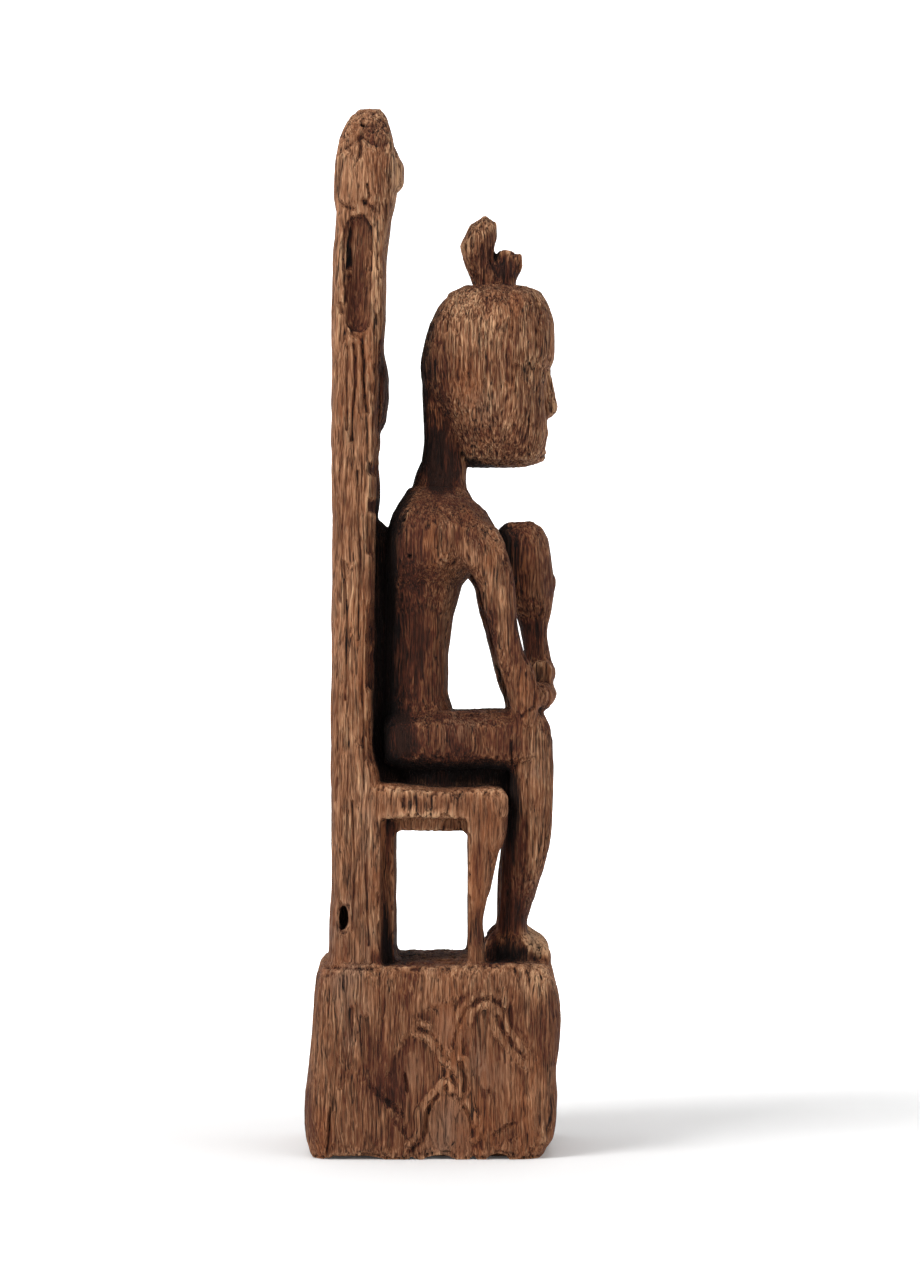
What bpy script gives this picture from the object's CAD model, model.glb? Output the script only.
# %% [markdown]
# # A weathered wooden ancestor figure
#
# One block of tropical hardwood holds a seated figure, its high-backed chair and its plinth. Wind, damp and
# insects have eaten the soft wood between the fibres, so every face is combed with upright grooves. The
# solid model gives the pose and the main forms. This lesson dresses it: it refines the surface until it can
# hold fibres, wears it as weather does, and then paints it with one procedural wood.
#
# The solid faces +X, its right side is -Y and the grain runs up along Z. All lengths are in metres.

# %% Load the solid model
import itertools
import math

import bmesh
import bpy
import numpy as np
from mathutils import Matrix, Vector
from mathutils.bvhtree import BVHTree


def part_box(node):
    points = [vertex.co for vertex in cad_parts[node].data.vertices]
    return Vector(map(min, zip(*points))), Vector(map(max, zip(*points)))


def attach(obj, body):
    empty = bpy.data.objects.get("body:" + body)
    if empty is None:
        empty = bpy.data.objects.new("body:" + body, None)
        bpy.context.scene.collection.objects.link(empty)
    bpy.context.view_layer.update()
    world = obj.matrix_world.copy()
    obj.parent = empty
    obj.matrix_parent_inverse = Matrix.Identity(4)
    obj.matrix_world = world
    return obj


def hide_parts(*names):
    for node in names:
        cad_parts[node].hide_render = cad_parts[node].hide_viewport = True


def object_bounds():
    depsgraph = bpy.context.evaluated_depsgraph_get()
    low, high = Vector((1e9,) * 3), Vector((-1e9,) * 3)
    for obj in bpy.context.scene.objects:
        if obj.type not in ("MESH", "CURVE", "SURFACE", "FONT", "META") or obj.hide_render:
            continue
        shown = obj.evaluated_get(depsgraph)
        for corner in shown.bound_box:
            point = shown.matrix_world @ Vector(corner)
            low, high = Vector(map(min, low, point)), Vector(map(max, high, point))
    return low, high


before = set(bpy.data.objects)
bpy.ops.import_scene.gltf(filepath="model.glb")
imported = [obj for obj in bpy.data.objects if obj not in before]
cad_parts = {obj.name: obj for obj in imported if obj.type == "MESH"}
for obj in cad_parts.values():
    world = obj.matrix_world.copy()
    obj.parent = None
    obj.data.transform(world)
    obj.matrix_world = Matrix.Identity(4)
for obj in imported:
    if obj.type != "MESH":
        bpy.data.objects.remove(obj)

NODE = "ancestor_figure"
MM = 0.001
cad_low, cad_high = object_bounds()
low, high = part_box(NODE)
print("solid from", tuple(round(v, 4) for v in low), "to", tuple(round(v, 4) for v in high))

# %% [markdown]
# ## The camera
#
# The photograph looks level at the figure's right side, so azimuth 0, from about a metre and a half away.
# The picture is 920 pixels wide and 1264 high, and Blender's sensor width counts along the longer side. The
# focal length in pixels, times the sensor's width over 1264, gives the lens in millimetres. A long lens
# keeps the near and the far side of the plinth almost the same size, as they are in the photograph.

# %% Camera
IMAGE_WIDTH, IMAGE_HEIGHT = 920, 1264
FOCAL_PIXELS = 3750
SENSOR = 36
CAMERA_PLACE = Vector((0.01085, -1.524, 0.2087))
PIXEL_MM = 0.4  # about what one pixel of the photograph covers on the figure, in millimetres

camera_data = bpy.data.cameras.new("camera")
camera_data.sensor_width = SENSOR
camera_data.lens = FOCAL_PIXELS * SENSOR / IMAGE_HEIGHT
camera = bpy.data.objects.new("camera", camera_data)
camera.location = CAMERA_PLACE
camera.rotation_euler = (math.radians(90), 0, 0)
bpy.context.scene.collection.objects.link(camera)
bpy.context.scene.camera = camera
print("lens", round(camera_data.lens, 2), "mm")


def place_of_pixel(across, down, depth=-0.037):
    """Where a pixel of the photograph lies on the upright plane at this depth, as (x, z)."""
    scale = (depth - CAMERA_PLACE.y) / FOCAL_PIXELS
    return (
        CAMERA_PLACE.x + (across - IMAGE_WIDTH / 2) * scale,
        CAMERA_PLACE.z + (IMAGE_HEIGHT / 2 - down) * scale,
    )


# %% [markdown]
# ## Numbers for a whole surface at once
#
# The refined surface has a few hundred thousand points. A Python loop over them would be slow for every
# layer of noise, so the points are kept in numpy arrays and each step works on all of them together. Blender
# has a noise function of its own, but it takes one point a call. The noise here is the classic value noise:
# each corner of a grid cell gets a steady random number, and a point blends the eight corners around it.
# The grid is turned a little about Z, so that its lines don't run along the plinth's flat sides.

# %% Noise
TURN = math.radians(33)
CELL_MIXERS = (73856093, 19349663, 83492791)
SEED_MIXER, LAST_MIXER = 1013904223, 1274126177
LARGEST = 0xFFFFFF


def corner_value(cell, seed):
    """A steady random number from 0 to 1 for every whole-numbered cell."""
    in_x, in_y, in_z = (cell * CELL_MIXERS).T
    mixed = in_x ^ in_y ^ in_z ^ (seed * SEED_MIXER)
    mixed = (mixed ^ (mixed >> 13)) * LAST_MIXER
    return ((mixed ^ (mixed >> 16)) & LARGEST) / LARGEST


def noise(points, wide, tall, seed=0):
    """Smooth hills from -1 to 1 that are this wide across the grain and this tall along it."""
    x, y, z = points.T
    turned_x = x * math.cos(TURN) - y * math.sin(TURN)
    turned_y = x * math.sin(TURN) + y * math.cos(TURN)
    grid = np.stack([turned_x, turned_y, z], 1) / (wide, wide, tall)
    cell = np.floor(grid).astype(np.int64)
    part = grid - cell
    part = part * part * (3 - 2 * part)
    total = np.zeros(len(points))
    for corner in itertools.product((0, 1), repeat=3):
        weight = np.prod(np.where(np.array(corner) == 1, part, 1 - part), axis=1)
        total += weight * corner_value(cell + np.array(corner), seed)
    return 2 * total - 1


def layered(points, wide, tall, seed=0, layers=3):
    """Noise with finer and fainter layers on top, still from about -1 to 1."""
    total = sum(noise(points, wide / 2**i, tall / 2**i, seed + i) / 2**i for i in range(layers))
    return total / (2 - 2 ** (1 - layers))


def step(value, start, end):
    """0 below start, 1 above end and a smooth rise between; start may be the larger one."""
    share = np.clip((value - start) / (end - start), 0, 1)
    return share * share * (3 - 2 * share)


sample = noise(np.random.default_rng(1).uniform(0, 1, (2000, 3)), 0.1, 0.3)
print("noise runs from", round(sample.min(), 2), "to", round(sample.max(), 2))

# %% [markdown]
# ## A surface fine enough for fibres
#
# The solid's facets are far wider than a fibre. A voxel remesh lays an even net over it instead. Fibres are
# narrow and long, so the copy is pressed flat along Z first, remeshed with cubes, and stretched again: each
# cell comes out taller than it is wide, and no points are spent along the grain where little changes. The
# smoothing after it takes away the cubes' steps, and rounds the edges as weather does.

# %% Remesh
PRESS = 0.5
CELL = 0.56 * MM
ROUNDING_PASSES = 3

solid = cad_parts[NODE]
mesh = solid.data.copy()
bm = bmesh.new()
bm.from_mesh(mesh)
bmesh.ops.remove_doubles(bm, verts=bm.verts, dist=0.01 * MM)
bmesh.ops.scale(bm, vec=(1, 1, PRESS), verts=bm.verts)
bm.to_mesh(mesh)
bm.free()
figure = bpy.data.objects.new("carved_figure", mesh)
bpy.context.scene.collection.objects.link(figure)

remesh = figure.modifiers.new("remesh", "REMESH")
remesh.mode = "VOXEL"
remesh.voxel_size = CELL


def settle(obj):
    """Puts what the modifiers make into the mesh itself, and takes them off."""
    graph = bpy.context.evaluated_depsgraph_get()
    made = bpy.data.meshes.new_from_object(obj.evaluated_get(graph))
    obj.modifiers.clear()
    old, obj.data = obj.data, made
    bpy.data.meshes.remove(old)
    obj.data.name = obj.name


settle(figure)
bm = bmesh.new()
bm.from_mesh(figure.data)
bmesh.ops.scale(bm, vec=(1, 1, 1 / PRESS), verts=bm.verts)
for _ in range(ROUNDING_PASSES):
    bmesh.ops.smooth_vert(bm, verts=bm.verts, factor=0.5, use_axis_x=True, use_axis_y=True, use_axis_z=True)
bm.normal_update()
bm.to_mesh(figure.data)
bm.free()
print("refined to", len(figure.data.vertices), "points")

# %% [markdown]
# ## Reading the surface
#
# Weather works by place: edges wear, hollows keep their dirt. So the surface is measured before it is worn.
# Every edge of the net joins two points, and averaging each point with its neighbours, many times over,
# gives a smoother surface. Where the real one stands above the smooth one there is an edge; where it lies
# below there is a hollow. The same averaging blurs any other value over the surface.

# %% Points, normals and curvature
CURVE_PASSES = 30


def read(obj_mesh, what):
    """A mesh's points or normals as one array with three columns."""
    values = np.zeros(len(obj_mesh.vertices) * 3, np.float32)
    obj_mesh.vertices.foreach_get(what, values)
    return values.reshape(-1, 3).astype(float)


def net_of(obj_mesh):
    """The pairs of points that the mesh's edges join, and how many edges meet at each point."""
    pairs = np.zeros(len(obj_mesh.edges) * 2, np.int32)
    obj_mesh.edges.foreach_get("vertices", pairs)
    pairs = pairs.reshape(-1, 2)
    return pairs, np.bincount(pairs.ravel(), minlength=len(obj_mesh.vertices))


def blurred(values, pairs, meeting, passes):
    """The values after each point has been averaged with its neighbours this many times."""
    for _ in range(passes):
        gathered = np.bincount(pairs[:, 0], values[pairs[:, 1]], len(meeting))
        gathered += np.bincount(pairs[:, 1], values[pairs[:, 0]], len(meeting))
        values = 0.5 * values + 0.5 * gathered / meeting
    return values


points = read(figure.data, "co")
normals = read(figure.data, "normal")
pairs, meeting = net_of(figure.data)
smooth_points = np.stack([blurred(column, pairs, meeting, CURVE_PASSES) for column in points.T], 1)
stands_out = np.sum((points - smooth_points) * normals, axis=1)
print("edges stand out by up to", round(stands_out.max() / MM, 2), "mm")

# %% [markdown]
# ## Which part is which
#
# One block, but its parts have weathered differently. The chair's back board is pale and combed deep, the
# figure is darker, and the head is fibrous. Soft masks from 0 to 1 tell the later steps where each part is.
# They come from the main heights of the solid.

# %% Masks of the parts
PLINTH_TOP = 76.7 * MM
SEAT_TOP = 147.2 * MM
BOARD_FRONT = -23.5 * MM
CHIN = 276 * MM
CHAIR_FRONT = 30 * MM
SIDE_OF_LEGS = 27 * MM

x, y, z = points.T
on_plinth = step(z, PLINTH_TOP + 1 * MM, PLINTH_TOP - 3 * MM)
on_board = step(x, BOARD_FRONT + 3 * MM, BOARD_FRONT - 1 * MM) * (1 - on_plinth)
on_head = step(z, CHIN - 4 * MM, CHIN + 3 * MM) * (1 - on_board)
above_seat = step(z, SEAT_TOP + 1 * MM, SEAT_TOP + 5 * MM)
on_legs = step(x, CHAIR_FRONT - 3 * MM, CHAIR_FRONT + 1 * MM)
on_legs *= step(np.abs(y), SIDE_OF_LEGS, SIDE_OF_LEGS - 2 * MM)
on_body = np.clip(above_seat + on_legs, 0, 1) * (1 - on_plinth) * (1 - on_board) * (1 - on_head)
on_chair = np.clip(1 - on_plinth - on_board - on_head - on_body, 0, 1)
for name, mask in (("plinth", on_plinth), ("board", on_board), ("head", on_head), ("body", on_body)):
    print(name, "covers", round(100 * mask.mean()), "% of the points")

# %% [markdown]
# ## Weather
#
# The wear is a depth for every point, measured into the wood, and below zero where the surface rises. It is
# made in layers, from broad to fine: slow hollows and smaller dents, then grooves between bundles of
# fibres, then between single fibres, and last the strands in them. A groove comes from noise that is
# squeezed across the grain and drawn out along it. Where the noise crosses zero there is a thin line, so
# the distance from zero gives a narrow, sharp-bottomed groove with round ridges between, as dry wood has.

# %% Broad hollows and fibre grooves
WANDER_MM = 2.2  # how far a fibre strays sideways

wander = np.stack([layered(points, 14 * MM, 50 * MM, seed) for seed in (11, 12)], 1) * WANDER_MM * MM
bent = points.copy()
bent[:, :2] += wander


def grooves(wide, tall, seed, width=0.35):
    """Thin lines from 0 to 1 along the grain, 1 at the bottom of a groove."""
    return step(np.abs(noise(bent, wide, tall, seed)), width, 0)


hollows = layered(points, 16 * MM, 42 * MM, 21)
dents = layered(points, 5 * MM, 12 * MM, 31)
bundles = grooves(4.6 * MM, 46 * MM, 41, 0.26)
fibres = grooves(2.1 * MM, 22 * MM, 51, 0.42)
strands = noise(bent, 1.15 * MM, 11 * MM, 61)
patchy = step(layered(points, 12 * MM, 30 * MM, 71), -0.3, 0.4)

combed = 0.85 * on_plinth + 1.2 * on_board + 0.8 * on_head + 0.6 * on_body + 0.8 * on_chair
carved = 0.62 * bundles * patchy + 0.46 * fibres * (0.35 + 0.65 * patchy) + 0.16 * strands
depth = MM * (0.6 * hollows + 0.34 * dents + combed * carved)
print("wear goes", round(depth.max() / MM, 2), "mm deep")

# %% [markdown]
# ## Marks that have a place
#
# Some wear isn't random. The plinth's side has a worn ribbon that crosses itself, the board has a channel
# with an arched end, and the knob on top is split. These marks are drawn as lines on the side that the
# camera sees, with their points named by where they lie in the photograph. The distance to a line turns
# into a groove, and the inside of an outline into a sunken ground. The ribbon needs both: its ground is
# sunk, and each of its lines leaves a fold standing there, with a groove along the fold's middle. Noise
# lowers the folds in places, because hands and rain have worn them unevenly.

# %% Lines and outlines on the figure's right side
PLINTH_FACE, CHAIR_FACE, BODY_FACE = -43 * MM, -37 * MM, -28 * MM
GROUND_DEPTH = 1.3 * MM
RUBBED_DEPTH = 1.25 * MM
FOLD_EDGE = (5.4 * MM, 3.0 * MM)  # from a line, a fold ends at the first and is full at the second
FOLD_GROOVE = (0.2 * MM, 2.0 * MM)

RIBBON = {
    "upper left": [(418, 1029), (425, 1031), (433, 1035), (441, 1046), (448, 1059)],
    "upper right": [(449, 1059), (453, 1046), (458, 1026), (466, 1010), (478, 1001), (490, 998), (498, 1004)],
    "far right": [(498, 1017), (502, 1030), (515, 1048), (526, 1059)],
    "lower left": [(446, 1088), (439, 1095), (433, 1102), (426, 1115), (426, 1132), (419, 1144), (410, 1152)],
    "lower right": [(446, 1088), (455, 1098), (465, 1108), (470, 1121), (472, 1135)],
    "middle": [(460, 1064), (465, 1078), (465, 1090), (463, 1098)],
}
GROUND = [
    (404, 1040), (412, 1020), (430, 1008), (452, 1003), (475, 992), (497, 990), (512, 1006), (520, 1030),
    (538, 1056), (532, 1080), (526, 1110), (520, 1138), (490, 1150), (440, 1158), (404, 1156), (400, 1120),
    (386, 1108), (386, 1080), (394, 1058),
]
RUBBED = {
    "left boss": [
        (398, 1062), (404, 1055), (414, 1053), (421, 1058), (424, 1068), (421, 1080), (414, 1087),
        (403, 1078),
    ],
    "right boss": [
        (478, 1072), (484, 1063), (496, 1060), (508, 1064), (512, 1074), (508, 1086), (497, 1092),
        (482, 1090),
    ],
    "below the crossing": [
        (446, 1092), (436, 1102), (429, 1114), (430, 1130), (427, 1142), (421, 1156), (474, 1156),
        (470, 1136), (468, 1120), (462, 1108),
    ],
    "above the crossing": [
        (430, 1018), (440, 1008), (454, 1008), (455, 1030), (449, 1054), (441, 1044), (432, 1032),
    ],
}
# Each groove: its line, its width and its depth in millimetres.
GOUGES = [
    ([(353, 1010), (350, 1030), (346, 1048), (347, 1066), (339, 1086)], 3.0, 0.8),
    ([(338, 1060), (335, 1078), (334, 1095), (332, 1110)], 2.2, 0.7),
    ([(330, 1108), (329, 1130), (326, 1157)], 1.0, 1.5),
    ([(364, 1020), (362, 1040), (366, 1060), (364, 1078)], 4.0, 0.8),
    ([(378, 1046), (376, 1066), (383, 1084)], 3.0, 0.6),
    ([(405, 1075), (407, 1085), (407, 1092)], 1.3, 1.7),
    ([(552, 1090), (546, 1112), (548, 1135)], 2.2, 0.6),
    ([(500, 1000), (503, 1012), (503, 1028)], 1.3, 0.9),
    ([(490, 1090), (489, 1093)], 1.3, 0.9),
    ([(369, 1084), (378, 1094), (388, 1103), (402, 1114)], 1.6, 0.9),
    ([(391, 1119), (398, 1125), (404, 1132)], 1.5, 0.8),
    ([(389, 1115), (390, 1134), (390, 1151)], 1.5, 0.7),
    ([(494, 1137), (502, 1130), (514, 1124)], 1.5, 0.7),
]
FOOT_OF_CHAIR = [(318, 967), (345, 967), (371, 969)]


def on_side(face, reach=9 * MM):
    """1 on surfaces that face the camera near this upright plane."""
    return step(-normals[:, 1], 0.25, 0.6) * step(np.abs(points[:, 1] - face), reach, reach * 0.7)


def distance_to(line, face):
    """How far each point is from a line of pixels, drawn on this plane."""
    flat = points[:, [0, 2]]
    spots = np.array([place_of_pixel(across, down, face) for across, down in line])
    nearest = np.full(len(flat), 1.0)
    for start, end in zip(spots, spots[1:]):
        along = end - start
        share = np.clip((flat - start) @ along / (along @ along), 0, 1)
        nearest = np.minimum(nearest, np.linalg.norm(flat - start - share[:, None] * along, axis=1))
    return nearest


def inside(line, face):
    """1 inside an outline of pixels, drawn on this plane."""
    flat = points[:, [0, 2]]
    spots = np.array([place_of_pixel(across, down, face) for across, down in line])
    crossings = np.zeros(len(flat), bool)
    for (x0, z0), (x1, z1) in zip(spots, np.roll(spots, -1, 0)):
        between = (z0 > flat[:, 1]) != (z1 > flat[:, 1])
        crossings ^= between & (flat[:, 0] < (x1 - x0) * (flat[:, 1] - z0) / (z1 - z0 + 1e-12) + x0)
    return crossings.astype(float)


ragged = 1 + 0.5 * noise(points, 3 * MM, 7 * MM, 81)
fold_height = 0.45 + 0.55 * step(layered(points, 7 * MM, 9 * MM, 83), 0.5, -0.2)
carved_ground = blurred(inside(GROUND, PLINTH_FACE), pairs, meeting, 8)
folds, gouged = np.zeros(len(points)), np.zeros(len(points))
for line in RIBBON.values():
    away = distance_to(line, PLINTH_FACE) * (0.65 + 0.5 * ragged)
    folds = np.maximum(folds, step(away, *FOLD_EDGE) * (0.1 + 0.9 * step(away, *FOLD_GROOVE)))
for line, width, deep in GOUGES:
    gouged = np.maximum(gouged, deep * MM * step(distance_to(line, PLINTH_FACE), width * MM * ragged, 0))
cut = GROUND_DEPTH * carved_ground * (1 - fold_height * folds) + gouged
rubbed = sum(inside(outline, PLINTH_FACE) for outline in RUBBED.values()) * on_side(PLINTH_FACE)
cut = np.maximum(cut, RUBBED_DEPTH * blurred(rubbed, pairs, meeting, 3)) * on_side(PLINTH_FACE)
ribbon = cut.copy()
depth -= 0.75 * MM * rubbed * combed * carved
cut += on_side(CHAIR_FACE, 12 * MM) * 0.7 * MM * step(distance_to(FOOT_OF_CHAIR, CHAIR_FACE), 1.1 * MM, 0)
print("ribbon and gouges cut", round(cut.max() / MM, 2), "mm deep")

# %% [markdown]
# The board and the knob on top of it have their own marks. Below the arched end of the channel a thin
# layer has survived, with long grooves in it. The seat's edge still shows a few adze marks. Insects have
# left round holes here and there.

# %% Marks on the chair
ADZE_DEPTH = 0.45 * MM
HOLE_DEPTH = 2.2 * MM

LAYER = [
    (343, 345), (345, 333), (352, 330), (362, 330), (368, 334), (372, 345), (373, 400), (370, 420),
    (370, 480), (366, 540), (343, 540),
]
CHANNEL = [
    (343, 222), (350, 212), (364, 213), (372, 222), (371, 300), (369, 326), (362, 330), (352, 329),
    (345, 322), (344, 300), (341, 260),
]
CAP = [(360, 132), (364, 118), (378, 113), (390, 120), (393, 138), (382, 143), (372, 140)]
FRONT_BAND = [
    (377, 325), (378, 360), (376, 400), (371, 416), (371, 430), (376, 436), (374, 448), (372, 462),
    (375, 480), (373, 500), (375, 520), (400, 520), (400, 325),
]
BOARD_GROOVES = [
    ([(353, 343), (355, 360), (355, 385), (352, 415), (351, 440)], 1.2, 1.4),
    ([(347, 345), (346, 380), (347, 430)], 0.8, 0.8),
    ([(362, 343), (364, 360), (363, 380), (367, 410)], 1.0, 1.1),
    ([(386, 158), (387, 172), (386, 188), (384, 206)], 1.5, 2.2),
    ([(359, 131), (360, 141), (359, 152)], 1.4, 1.3),
    ([(345, 143), (352, 137), (360, 130), (366, 135), (372, 140), (382, 142)], 0.9, 0.6),
    ([(378, 165), (379, 186), (376, 200)], 0.9, 1.0),
    ([(366, 180), (369, 192), (364, 200)], 0.9, 0.8),
    ([(339, 300), (341, 309)], 1.5, 1.4),
    ([(338, 197), (346, 203), (354, 205)], 1.3, 0.6),
    ([(362, 196), (370, 202), (378, 208)], 1.3, 0.7),
    ([(344, 560), (347, 620), (345, 700)], 0.9, 0.8),
    ([(357, 470), (360, 560), (358, 640)], 0.9, 0.7),
    ([(364, 600), (362, 690), (365, 760)], 0.9, 0.7),
    ([(336, 640), (338, 720), (336, 800)], 0.9, 0.6),
    ([(352, 800), (355, 860), (352, 930)], 0.9, 0.7),
    ([(368, 830), (366, 880), (369, 945)], 0.9, 0.7),
]
BODY_GROOVES = [
    ([(524, 655), (533, 668), (536, 690), (534, 706), (522, 716)], 1.1, 0.8),
    ([(511, 742), (512, 764)], 0.9, 1.0),
    ([(440, 560), (448, 566), (456, 562)], 1.2, 0.5),
    ([(400, 520), (404, 560), (402, 600)], 0.9, 0.5),
    ([(545, 740), (547, 800), (544, 850)], 0.9, 0.5),
    ([(528, 780), (527, 840), (522, 890)], 0.9, 0.5),
]
# Each hole: its middle and its radius in millimetres. Each adze mark: its middle, half its width and half
# its height in pixels.
BORER_HOLES = [((362, 121), 0.85), ((410, 556), 0.8), ((404, 520), 0.6), ((349, 905), 0.6)]
ADZE_MARKS = [(404, 803, 4, 7), (415, 800, 2, 5), (429, 801, 4, 7), (442, 804, 2, 6), (460, 802, 3, 7)]

board_side = on_side(CHAIR_FACE, 26 * MM) * on_board
layer = blurred(inside(LAYER, CHAIR_FACE), pairs, meeting, 3)
channel = blurred(inside(CHANNEL, CHAIR_FACE), pairs, meeting, 6)
channel = step(channel + 0.3 * layered(bent, 4 * MM, 12 * MM, 85), 0.25, 0.7)
depth -= 0.7 * MM * channel * board_side * combed * carved
front_band = blurred(inside(FRONT_BAND, CHAIR_FACE), pairs, meeting, 2) * on_board
sunken = 1.1 * channel + 0.8 * blurred(inside(CAP, CHAIR_FACE), pairs, meeting, 3) + 1.0 * front_band
cut += (sunken - 0.5 * layer) * MM * board_side
body_side = on_side(BODY_FACE, 16 * MM) * on_body
for line, width, deep in BODY_GROOVES:
    cut += body_side * deep * MM * step(distance_to(line, BODY_FACE), width * MM * ragged, 0)
for line, width, deep in BOARD_GROOVES:
    cut += board_side * deep * MM * step(distance_to(line, CHAIR_FACE), width * MM * ragged, 0)
adze = np.zeros(len(points))
for across, down, half_width, half_height in ADZE_MARKS:
    middle_x, middle_z = place_of_pixel(across, down, CHAIR_FACE)
    far = np.maximum(
        np.abs(x - middle_x) / (half_width * PIXEL_MM * MM),
        np.abs(z - middle_z) / (half_height * PIXEL_MM * MM),
    )
    adze = np.maximum(adze, step(far * ragged, 1.3, 0.6))
adze *= on_side(CHAIR_FACE) * on_chair
cut += ADZE_DEPTH * adze
holes = np.zeros(len(points))
for (across, down), radius in BORER_HOLES:
    middle_x, middle_z = place_of_pixel(across, down, BODY_FACE)
    far = np.hypot(x - middle_x, z - middle_z)
    holes = np.maximum(holes, step(far, radius * MM * 1.3, radius * MM * 0.5))
holes *= step(-normals[:, 1], 0.3, 0.6)
cut += HOLE_DEPTH * holes
print("adze marks on", int((adze > 0.5).sum()), "points, borer holes on", int((holes > 0.5).sum()))

# %% [markdown]
# ## Edges and end grain
#
# An edge loses whole splinters, so the wear there is broken up by short, coarse noise. The board's front
# edge has lost larger bites, high up and out at its sides. Surfaces that look up or down show the fibres'
# ends, which rot into small pits as well. The underside stays flat, so that the plinth stands firmly.
#
# The paint will need to know how deep in a groove a point lies, compared with its surroundings. There the
# ribbon's own relief counts for less, or its whole ground would come out dark.

# %% Edges, pits and the final depth
BITES_ABOVE = (170 * MM, 190 * MM)
BITES_BESIDE = (14 * MM, 20 * MM)
BITE_DEPTH = 1.7
GROOVE_PASSES = 14
DEEP_GROOVE = 0.42 * MM

edge = step(stands_out, 0.08 * MM, 0.55 * MM)
board_front = on_board * step(normals[:, 0], 0.2, 0.6)
splinters = step(layered(bent, 3.4 * MM, 9 * MM, 91), 0.02, 0.2)
upward = step(np.abs(normals[:, 2]), 0.55, 0.85)
pits = step(layered(points, 1.9 * MM, 1.9 * MM, 95), 0.12, 0.7)

depth += MM * edge * (0.1 + 0.95 * splinters + 0.3 * noise(bent, 1.6 * MM, 3.5 * MM, 93))
heights = np.stack([0 * x, 0 * y, z], 1)
bites = step(noise(heights, 1, 7 * MM, 99) + 0.3 * noise(points, 5 * MM, 5 * MM, 98), -0.1, 0.6)
bites *= step(z, *BITES_ABOVE) * step(np.abs(y), *BITES_BESIDE)
depth += MM * board_front * (BITE_DEPTH * bites + 0.6 * splinters - 0.2)
depth += 0.6 * MM * upward * pits * (0.4 + 0.6 * combed)
chips = step(layered(bent, 1.5 * MM, 5.5 * MM, 97), 0.1, 0.7)
depth += MM * chips * (0.55 * on_head + 0.2 * on_body + 0.25 * on_board)
depth += cut
stays_flat = step(z, 1.2 * MM, 0.2 * MM) * step(-normals[:, 2], 0.5, 0.9)
depth *= 1 - stays_flat
plain = depth - 0.35 * ribbon
groove = np.clip((plain - blurred(plain, pairs, meeting, GROOVE_PASSES)) / DEEP_GROOVE, -1, 1)
print("final wear from", round(depth.min() / MM, 2), "to", round(depth.max() / MM, 2), "mm")

# %% [markdown]
# ## Where the wood is darker or paler
#
# Handling, smoke and rain have coloured the wood in large soft areas that don't follow its parts: the back
# of the head is dark, the seat's edges are rubbed pale. Each area is an ellipse in the photograph's pixels
# with an amount, negative where the wood is darker. Noise along the grain frays its border. An area goes
# right through to the far side, which keeps the hidden side in keeping.

# %% Dark and pale areas
AREAS = [
    # board and knob
    ((374, 127), (16, 12), -0.42), ((358, 172), (16, 22), 0.18), ((396, 175), (9, 24), 0.34),
    ((372, 206), (14, 9), -0.22), ((355, 270), (13, 60), -0.05), ((376, 270), (6, 50), 0.16),
    ((338, 280), (6, 70), 0.14), ((381, 385), (7, 52), -0.50), ((352, 345), (14, 12), 0.12),
    ((346, 640), (16, 200), 0.08), ((374, 640), (4, 120), -0.30), ((386, 885), (8, 60), -0.26),
    ((388, 832), (10, 8), -0.50), ((388, 950), (14, 12), -0.50), ((362, 880), (12, 60), -0.06),
    # knot of hair, head and neck
    ((475, 235), (12, 22), -0.06), ((505, 262), (16, 12), -0.36), ((490, 262), (32, 36), -0.22),
    ((434, 410), (15, 66), -0.50), ((440, 462), (20, 30), -0.72), ((462, 466), (6, 26), 0.25),
    ((500, 315), (40, 22), 0.06), ((470, 300), (30, 10), 0.14), ((475, 440), (18, 14), -0.20),
    ((495, 360), (40, 50), 0.14), ((466, 400), (6, 22), 0.24),
    # trunk, arms and the small figure
    ((400, 640), (24, 110), -0.26), ((445, 640), (8, 60), 0.20), ((455, 560), (24, 16), 0.12),
    ((420, 525), (30, 14), 0.00), ((392, 740), (22, 30), -0.50), ((500, 600), (14, 70), 0.16),
    ((520, 690), (14, 20), 0.16), ((492, 650), (7, 50), -0.40), ((512, 565), (12, 34), -0.30),
    ((540, 570), (12, 34), 0.14), ((530, 638), (14, 24), -0.50), ((546, 685), (10, 20), 0.10),
    # legs and feet
    ((480, 738), (30, 14), 0.04), ((440, 757), (80, 7), -0.25), ((460, 774), (60, 8), -0.70),
    ((537, 800), (14, 90), 0.34), ((508, 860), (6, 60), -0.30), ((512, 920), (14, 20), -0.35),
    ((537, 948), (16, 15), 1.0), ((496, 950), (8, 14), -0.60), ((505, 963), (20, 4), -0.70),
    # seat and its front leg
    ((440, 788), (60, 4), 0.14), ((425, 817), (44, 4), 0.22), ((482, 832), (18, 10), 0.24),
    ((430, 802), (36, 8), -0.10), ((475, 935), (9, 26), -0.26), ((430, 957), (40, 8), -0.20),
    # plinth
    ((430, 982), (50, 10), 0.16), ((540, 985), (24, 14), 0.36), ((345, 985), (26, 14), 0.08),
    ((368, 1060), (34, 34), -0.16), ((385, 1092), (18, 14), -0.36), ((548, 1030), (14, 50), -0.22),
    ((322, 1090), (10, 70), 0.12), ((556, 1120), (8, 30), -0.15),
]
FRAYING_MM = 3.5

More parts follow.
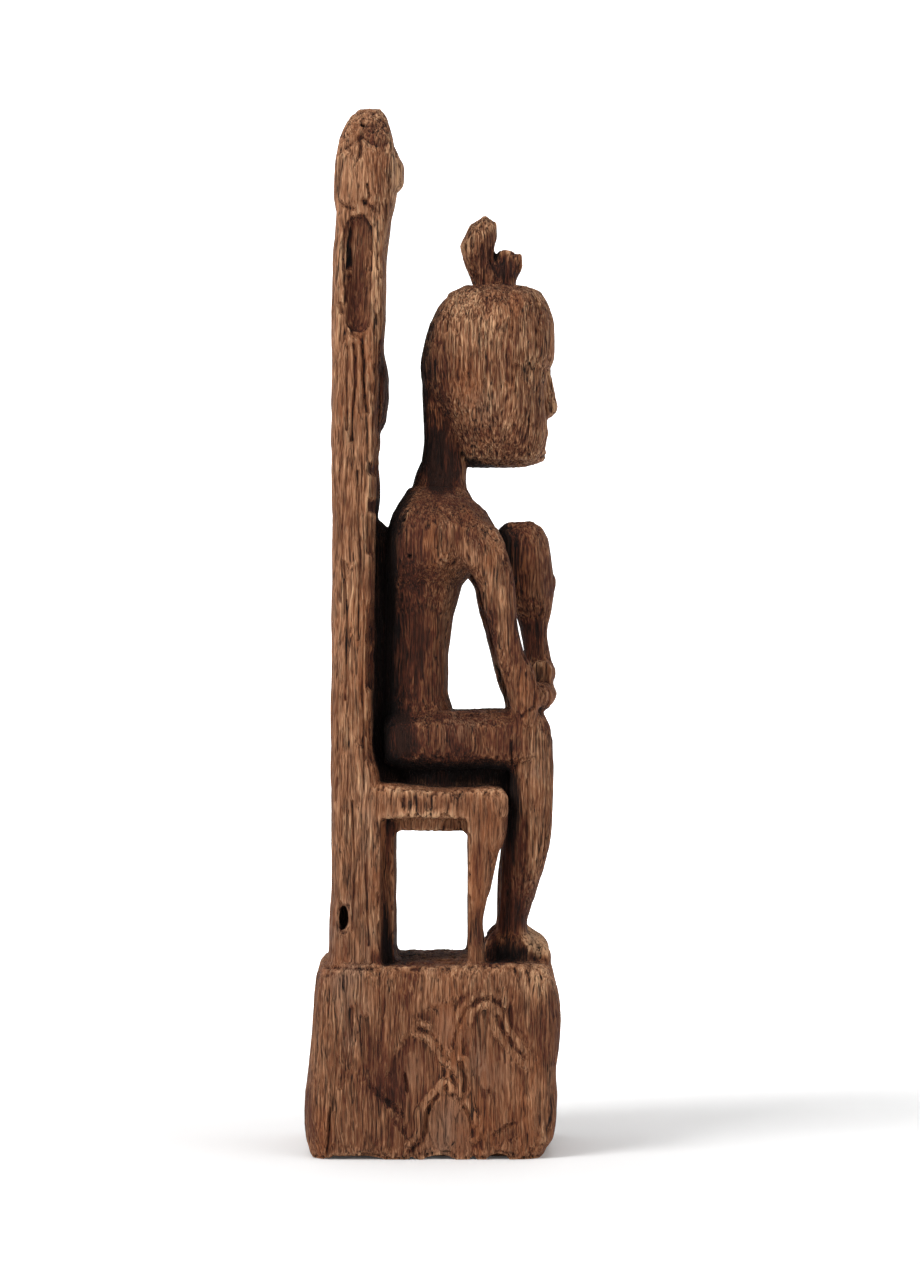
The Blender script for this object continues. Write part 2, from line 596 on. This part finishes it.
frayed = np.stack([layered(bent, 6 * MM, 18 * MM, seed) for seed in (101, 104)], 1) * FRAYING_MM * MM
tint = np.zeros(len(points))
for (across, down), (half_width, half_height), amount in AREAS:
    middle_x, middle_z = place_of_pixel(across, down)
    far = np.hypot(
        (x + frayed[:, 0] - middle_x) / (half_width * PIXEL_MM * MM),
        (z + 2 * frayed[:, 1] - middle_z) / (half_height * PIXEL_MM * MM),
    )
    tint += amount * step(far, 1.3, 0.65)
print("tint from", round(tint.min(), 2), "to", round(tint.max(), 2))

# %% [markdown]
# Now the points move along their normals, inwards by their depth. A ridge has a depth below zero and moves
# outwards. Everywhere but on the underside the points also start OUTWARD further out, which makes up for
# some of what the grooves take away. No point may leave the solid's box.
#
# The surface is now finer than it has to be on calm places, so Decimate merges points where little is lost,
# and keeps the piece within a size that other programs can handle. What the paint needs later, how deep in
# a groove a point lies and which part it is on, is stored on the points first, because Decimate keeps such
# values with the points that stay.

# %% Move the surface and thin it out
TRIANGLE_LIMIT = 196000
OUTWARD = 0.35 * MM

points = points - normals * (depth - OUTWARD * (1 - stays_flat))[:, None]
points[:, 2] = np.maximum(points[:, 2], 0)
points = np.clip(points, np.array(cad_low), np.array(cad_high))
figure.data.vertices.foreach_set("co", points.astype(np.float32).ravel())


def store(obj, name, values):
    """Keeps one number a point on the mesh, for the shader to read."""
    layer_of = obj.data.attributes.new(name, "FLOAT", "POINT")
    layer_of.data.foreach_set("value", np.asarray(values, np.float32))


paleness = 0.42 * on_plinth + 0.52 * on_board + 0.44 * on_chair + 0.51 * on_head + 0.22 * on_body
paleness -= 0.25 * on_board * channel + 0.4 * front_band
paleness = blurred(paleness, pairs, meeting, 10) + tint
store(figure, "groove", groove)
store(figure, "paleness", paleness)
store(figure, "edge", edge)
store(figure, "stain", np.maximum(adze, holes))
grain = 0.9 * on_plinth + 0.85 * on_board + 1.4 * on_head + 1.0 * on_body + 0.6 * on_chair
store(figure, "grain", blurred(grain * (1 - 0.5 * rubbed), pairs, meeting, 9))
store(figure, "rubbed", blurred(rubbed, pairs, meeting, 9))
figure.data.update()

triangles = sum(len(face.vertices) - 2 for face in figure.data.polygons)
thin = figure.modifiers.new("thin", "DECIMATE")
thin.ratio = TRIANGLE_LIMIT / triangles
thin.use_collapse_triangulate = True
settle(figure)
inside_box = np.clip(read(figure.data, "co"), cad_low, cad_high)
figure.data.vertices.foreach_set("co", inside_box.astype(np.float32).ravel())
figure.data.update()
print("thinned from", triangles, "to", len(figure.data.polygons), "triangles")

# %% [markdown]
# ## Where the light doesn't reach
#
# Smoke, oil and dust stay in places that hands and rain don't reach. Those are also the places from which
# little of the open air can be seen, and rays measure that: from each point some start in steady
# directions, and the share that soon hits wood again tells how closed in the point is.

# %% Closed-in places
RAYS = 16
RAY_REACH = 32 * MM
RAY_LIFT_MM = 0.4  # a ray starts this far off the surface, so that it doesn't hit its own triangle
RAY_SPREAD = 0.98

points = read(figure.data, "co")
normals = read(figure.data, "normal")
pairs, meeting = net_of(figure.data)
tree = BVHTree.FromObject(figure, bpy.context.evaluated_depsgraph_get())
spread = np.random.default_rng(7).normal(size=(RAYS, 3))
spread /= np.linalg.norm(spread, axis=1)[:, None]
hits = np.zeros(len(points))
starts = points + normals * RAY_LIFT_MM * MM
for ray in spread:
    ways = normals + RAY_SPREAD * ray
    for i, (start, way) in enumerate(zip(starts.tolist(), ways.tolist())):
        found = tree.ray_cast(start, way, RAY_REACH)[3]
        if found is not None:
            hits[i] += 1 - 0.5 * found / RAY_REACH
closed = blurred(hits / RAYS, pairs, meeting, 9)
store(figure, "closed", closed)
print("most closed-in place", round(closed.max(), 2), "of 1")

# %% [markdown]
# ## Writing a shader as a formula
#
# A procedural material is arithmetic on textures, and as a formula it is far easier to read than as a list
# of nodes. `Shade` wraps one socket. The operators +, - and * add Math nodes, also with a plain number on
# the left, and `node` adds a node of any other kind.

# %% Shader maths
class Shade:
    """One output socket. Arithmetic on it adds Math nodes."""

    def __init__(self, tree, socket=None):
        self.tree, self.socket = tree, socket

    def node(self, kind, settings, inputs, output=0):
        """Adds a node: first its settings, then its sockets, each a plain value or another Shade."""
        made = self.tree.nodes.new(kind)
        for name, value in settings.items():
            setattr(made, name, value)
        for name, value in inputs.items():
            if isinstance(value, Shade):
                self.tree.links.new(value.socket, made.inputs[name])
            else:
                made.inputs[name].default_value = value
        return Shade(self.tree, made.outputs[output])

    def math(self, operation, *values):
        return self.node("ShaderNodeMath", {"operation": operation}, dict(enumerate(values)))

    def math_of(self, operation):
        """Maths with this one value."""
        return self.math(operation, self)

    def __add__(self, other):
        return self.math("ADD", self, other)

    def __radd__(self, other):
        return self.math("ADD", other, self)

    def __sub__(self, other):
        return self.math("SUBTRACT", self, other)

    def __rsub__(self, other):
        return self.math("SUBTRACT", other, self)

    def __mul__(self, other):
        return self.math("MULTIPLY", self, other)

    def __rmul__(self, other):
        return self.math("MULTIPLY", other, self)

    def stretched(self, x, y, z):
        """A vector with each of its parts multiplied."""
        return self.node("ShaderNodeVectorMath", {"operation": "MULTIPLY"}, {0: self, 1: (x, y, z)})

    def shifted(self, amount):
        """A vector with the same amount added to each of its parts."""
        return self.plus((amount, amount, amount))

    def plus(self, other):
        """The sum of two vectors."""
        return self.node("ShaderNodeVectorMath", {"operation": "ADD"}, {0: self, 1: other})

    def noise(self, scale, detail=3.0, roughness=0.5, output=0):
        """Noise from 0 to 1 at this place, with hills 1/scale metres wide; output 1 is a vector of it."""
        values = {"Vector": self, "Scale": scale, "Detail": detail, "Roughness": roughness}
        return self.node("ShaderNodeTexNoise", {"noise_dimensions": "3D"}, values, output)

    def rise(self, start, end):
        """0 at start, 1 at end and a smooth rise between; start may be the larger one."""
        settings = {"interpolation_type": "SMOOTHSTEP", "clamp": True}
        return self.node("ShaderNodeMapRange", settings, {"Value": self, "From Min": start, "From Max": end})

    def between(self, first, second):
        """The first colour where this is 0, the second where it is 1."""
        settings = {"data_type": "RGBA", "clamp_factor": True}
        return self.node("ShaderNodeMix", settings, {0: self, 6: first, 7: second}, 2)


def srgb(red, green, blue):
    """A colour as a screen shows it, from 0 to 255, turned into the linear one that shaders use."""
    linear = [(v / 255 / 12.92) if v < 11 else ((v / 255 + 0.055) / 1.055) ** 2.4 for v in (red, green, blue)]
    return (*linear, 1.0)


def new_material(name):
    """An empty material, with its output node and a Shade to start from."""
    material = bpy.data.materials.new(name)
    material.use_nodes = True
    material.node_tree.nodes.clear()
    output = material.node_tree.nodes.new("ShaderNodeOutputMaterial")
    return material, output, Shade(material.node_tree)


print("shader maths ready")

# %% [markdown]
# ## Weathered wood
#
# Figures like this one are cut from dense tropical wood. Fresh it is a warm red-brown. Where rain and wind
# reach it, it has bleached to tan, and where smoke and oil stayed it is almost black. So the colour is
# mixed in the same order: the part's own paleness first, then streaks along the grain, then pale ridges and
# dark grooves, and last the soot of the closed-in places. The streaks are noise in the object's own space,
# drawn out along Z, so they follow the grain right through the piece as they do in a real block.

# %% Wood
SOOT, DARK, RED_BROWN = srgb(15, 9, 8), srgb(44, 23, 15), srgb(84, 42, 27)
BROWN, TAN, PALE = srgb(120, 76, 50), srgb(163, 114, 82), srgb(206, 158, 119)
ORANGE, GREY = srgb(150, 84, 46), srgb(126, 104, 90)

wood, output, shade = new_material("weathered_wood")


def kept(name):
    """A value that was stored on the points."""
    return shade.node("ShaderNodeAttribute", {"attribute_name": name}, {}, 2)


place = shade.node("ShaderNodeTexCoord", {}, {}, 3)
swirl = place.stretched(1, 1, 0.35).noise(110, 2.0, 0.5, 1).shifted(-0.5).stretched(0.0036, 0.0036, 0.004)
place = place.plus(swirl)

streaks = place.stretched(1, 1, 0.025).noise(800, 2.0, 0.6).rise(0.34, 0.66)
threads = place.stretched(1, 1, 0.035).noise(1700, 1.0, 0.5).rise(0.34, 0.66)
hairs = place.stretched(1, 1, 0.08).noise(2800, 1.0, 0.5)
patches = place.stretched(1, 1, 0.4).noise(85, 5.0, 0.65)
clouds = place.stretched(1, 1, 0.5).noise(28, 3.0, 0.5)
gaps = place.stretched(1, 1, 0.05).noise(1500, 2.0, 0.65).rise(0.53, 0.63)
cracks = (place.stretched(1, 1, 0.035).noise(300, 2.0, 0.5) - 0.5).math_of("ABSOLUTE").rise(0.022, 0.004)
cracks = cracks * patches.rise(0.45, 0.55)
grit = place.noise(2600, 2.0, 0.6)
warm = place.stretched(1, 1, 0.3).noise(60, 3.0, 0.6).rise(0.50, 0.68)
grey = place.stretched(1, 1, 0.4).noise(47, 4.0, 0.6).rise(0.54, 0.72)

grain_strength = kept("grain")
fine = 0.18 * (streaks - 0.5) + 0.38 * (threads - 0.5) + 0.9 * (hairs - 0.5)
tone = kept("paleness") + grain_strength * (fine + 1.3 * (patches - 0.5)) + 0.6 * (clouds - 0.5)
tone = tone + 0.36 * kept("edge") - 0.36 * kept("groove")
colour = tone.rise(-0.45, 0.14).between(DARK, RED_BROWN)
colour = tone.rise(0.05, 0.42).between(colour, BROWN)
colour = tone.rise(0.38, 0.78).between(colour, TAN)
colour = tone.rise(0.74, 1.15).between(colour, PALE)
colour = (0.34 * warm * tone.rise(0.0, 0.4)).between(colour, ORANGE)
colour = ((0.36 * grey + 0.15 * kept("rubbed")) * tone.rise(0.1, 0.5)).between(colour, GREY)

in_groove = kept("groove").rise(0.1, 0.9)
lines = 0.6 * gaps + 0.65 * cracks + 0.2 * (0.5 - threads)
handled = kept("paleness").rise(0.45, 0.80)
soot = (1.1 - 0.7 * handled) * kept("closed").rise(0.26, 0.70) + 0.5 * in_groove + 0.3 * kept("stain") + lines
soot = (soot + 0.6 * (patches - 0.5)).rise(0.0, 1.2)
colour = (0.95 * soot).between(colour, SOOT)

roughness = 0.82 + 0.16 * (grit - 0.5) - 0.10 * kept("edge") + 0.08 * in_groove
relief = 0.55 * threads + 0.5 * hairs + 0.35 * streaks - 0.6 * gaps - 0.7 * cracks
relief = grain_strength * relief + 0.25 * grit
bump = shade.node("ShaderNodeBump", {}, {"Strength": 1.0, "Distance": 0.0010, "Height": relief})
surface = shade.node(
    "ShaderNodeBsdfPrincipled",
    {},
    {"Base Color": colour, "Roughness": roughness, "Specular IOR Level": 0.2, "Normal": bump},
)
wood.node_tree.links.new(surface.socket, output.inputs["Surface"])
figure.data.materials.clear()
figure.data.materials.append(wood)
figure.data.polygons.foreach_set("use_smooth", np.ones(len(figure.data.polygons), bool))
print("wood has", len(wood.node_tree.nodes), "nodes")

# %% [markdown]
# ## The studio
#
# The photograph has a white ground without a horizon. Here it is one round dish. It lies flat under the
# figure, curves up on all sides and is open on top, so the figure can be looked at from anywhere. Behind
# the figure, as the photograph sees it, the dish glows, which keeps the ground white there. Its wall is a
# little darker than its floor, so that it doesn't throw too much light back. The figure stands on the
# floor, so a faint shadow gathers along the plinth's edge.

# %% Floor and backdrop
WALL_AT = 2.1
WALL_TOP = 1.3
CURVE = 0.6
STEPS_UP, STEPS_ROUND = 12, 64

profile = [(0.0, 0.0), (0.3, 0.0), (0.8, 0.0), (WALL_AT - CURVE, 0.0)]
profile += [
    (WALL_AT - CURVE + CURVE * math.sin(turn), CURVE - CURVE * math.cos(turn))
    for turn in np.linspace(0, math.pi / 2, STEPS_UP + 1)[1:]
]
profile += [(WALL_AT, WALL_TOP)]
bm = bmesh.new()
corners = [bm.verts.new((radius, 0, up)) for radius, up in profile]
lines_between = [bm.edges.new(pair) for pair in zip(corners, corners[1:])]
bmesh.ops.spin(
    bm,
    geom=corners + lines_between,
    cent=(0, 0, 0),
    axis=(0, 0, 1),
    angle=2 * math.pi,
    steps=STEPS_ROUND,
    use_merge=True,
)
bmesh.ops.remove_doubles(bm, verts=bm.verts, dist=0.1 * MM)
bmesh.ops.recalc_face_normals(bm, faces=bm.faces)
if min(bm.faces, key=lambda face: face.calc_center_median().length).normal.z < 0:
    bmesh.ops.reverse_faces(bm, faces=bm.faces)
sheet_mesh = bpy.data.meshes.new("backdrop")
bm.to_mesh(sheet_mesh)
bm.free()
sheet = bpy.data.objects.new("backdrop", sheet_mesh)
bpy.context.scene.collection.objects.link(sheet)
sheet_mesh.polygons.foreach_set("use_smooth", np.ones(len(sheet_mesh.polygons), bool))
paper, output, shade = new_material("paper")
spot = shade.node("ShaderNodeTexCoord", {}, {}, 3)
behind = shade.node("ShaderNodeSeparateXYZ", {}, {0: spot}, 1)
above = shade.node("ShaderNodeSeparateXYZ", {}, {0: spot}, 2)
glow = behind.rise(0.05, 0.5).between((0.03, 0.03, 0.03, 1), (1, 1, 1, 1))
white = above.rise(0.0, 0.3).between((0.9, 0.9, 0.9, 1), (0.7, 0.7, 0.7, 1))
surface = shade.node(
    "ShaderNodeBsdfPrincipled",
    {},
    {"Base Color": white, "Roughness": 0.9, "Emission Color": glow, "Emission Strength": 0.95},
)
paper.node_tree.links.new(surface.socket, output.inputs["Surface"])
sheet_mesh.materials.append(paper)
print("backdrop has its wall", WALL_AT, "m from the figure")

# %% [markdown]
# The light is soft and comes from the front and above. A large lamp above the camera's left shoulder draws
# the grooves, a weaker one on the right keeps the front of the legs readable, and one overhead lights the
# seat and the floor. The recesses stay dark because no lamp reaches into them.

# %% Lights
def lamp(name, place_at, aim, size, power):
    """A square area lamp that points at a place."""
    data = bpy.data.lights.new(name, "AREA")
    data.shape = "SQUARE"
    data.size = size
    data.energy = power
    made = bpy.data.objects.new(name, data)
    made.location = place_at
    made.rotation_euler = (Vector(aim) - Vector(place_at)).to_track_quat("-Z", "Y").to_euler()
    bpy.context.scene.collection.objects.link(made)
    print(name, "of", power, "W")


lamp("key", (-1.0, -0.85, 1.15), (0, 0, 0.2), 0.7, 20)
lamp("fill", (1.2, -1.0, 0.6), (0, 0, 0.2), 0.9, 5)
lamp("overhead", (0.1, -0.1, 1.5), (0, 0, 0), 1.1, 9)

world = bpy.data.worlds.new("studio")
world.use_nodes = True
world.node_tree.nodes["Background"].inputs["Color"].default_value = (1.0, 0.99, 0.98, 1)
world.node_tree.nodes["Background"].inputs["Strength"].default_value = 0.10
bpy.context.scene.world = world
bpy.context.scene.view_settings.view_transform = "Standard"

# %% [markdown]
# ## Handing over
#
# The carved piece takes the place of the solid's node and moves with its body. Its size is written next to
# the solid's, which shows that the worn surface stays inside the solid's box.

# %% Tell the frame what is what
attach(figure, "root")
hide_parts(NODE)
